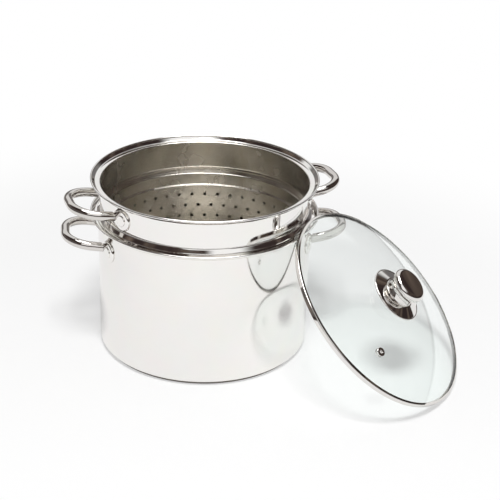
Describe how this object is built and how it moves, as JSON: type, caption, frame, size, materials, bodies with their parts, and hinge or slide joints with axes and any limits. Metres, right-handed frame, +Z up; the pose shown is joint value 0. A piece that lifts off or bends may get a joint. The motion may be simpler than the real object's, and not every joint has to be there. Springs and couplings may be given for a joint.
{
  "type": "pasta pot with strainer insert",
  "caption": "Tall steel pot with loop handles, a perforated strainer insert that lifts out of it, and a domed glass lid with a knob leaning against its side.",
  "frame": {"origin": "centre of the pot's base, on the surface it stands on", "axes": "+Z up along the pot's axis, +X along the middle of the pot's right handle, the lid leans 32 degrees clockwise from +X seen from above"},
  "size_m": [0.4416, 0.3548, 0.2014],
  "materials": {
    "polished_steel": "mirror polished stainless steel",
    "satin_steel": "satin stainless steel",
    "core_aluminium": "as rolled",
    "lid_glass": "clear tempered glass",
    "silicone": "translucent silicone"
  },
  "bodies": {
    "pot": {"pot_shell": "polished_steel", "base_core": "core_aluminium", "base_cap": "satin_steel", "pot_handle_left": "polished_steel", "pot_handle_right": "polished_steel", "pot_left_handle_plates": "polished_steel", "pot_right_handle_plates": "polished_steel"},
    "strainer": {"strainer_shell": "polished_steel", "strainer_handle_left": "polished_steel", "strainer_handle_right": "polished_steel", "strainer_left_handle_plates": "polished_steel", "strainer_right_handle_plates": "polished_steel"},
    "lid": {"lid_glass": "lid_glass", "lid_band": "polished_steel", "knob_flange": "polished_steel", "knob_stem": "polished_steel", "knob_cap": "polished_steel", "knob_upper_gasket": "silicone", "knob_lower_gasket": "silicone", "knob_washer": "satin_steel", "knob_screw": "satin_steel", "vent_eyelet": "polished_steel", "vent_gasket": "silicone"}
  },
  "joints": [
    {"name": "strainer_lift", "type": "slide", "parent": "pot", "child": "strainer", "axis": [0, 0, 1], "range_m": [0, 0.18]},
    {"name": "lid_take_off", "type": "slide", "parent": "pot", "child": "lid", "axis": [0.5787, -0.3616, 0.731], "range_m": [0, 0.15]}
  ]
}
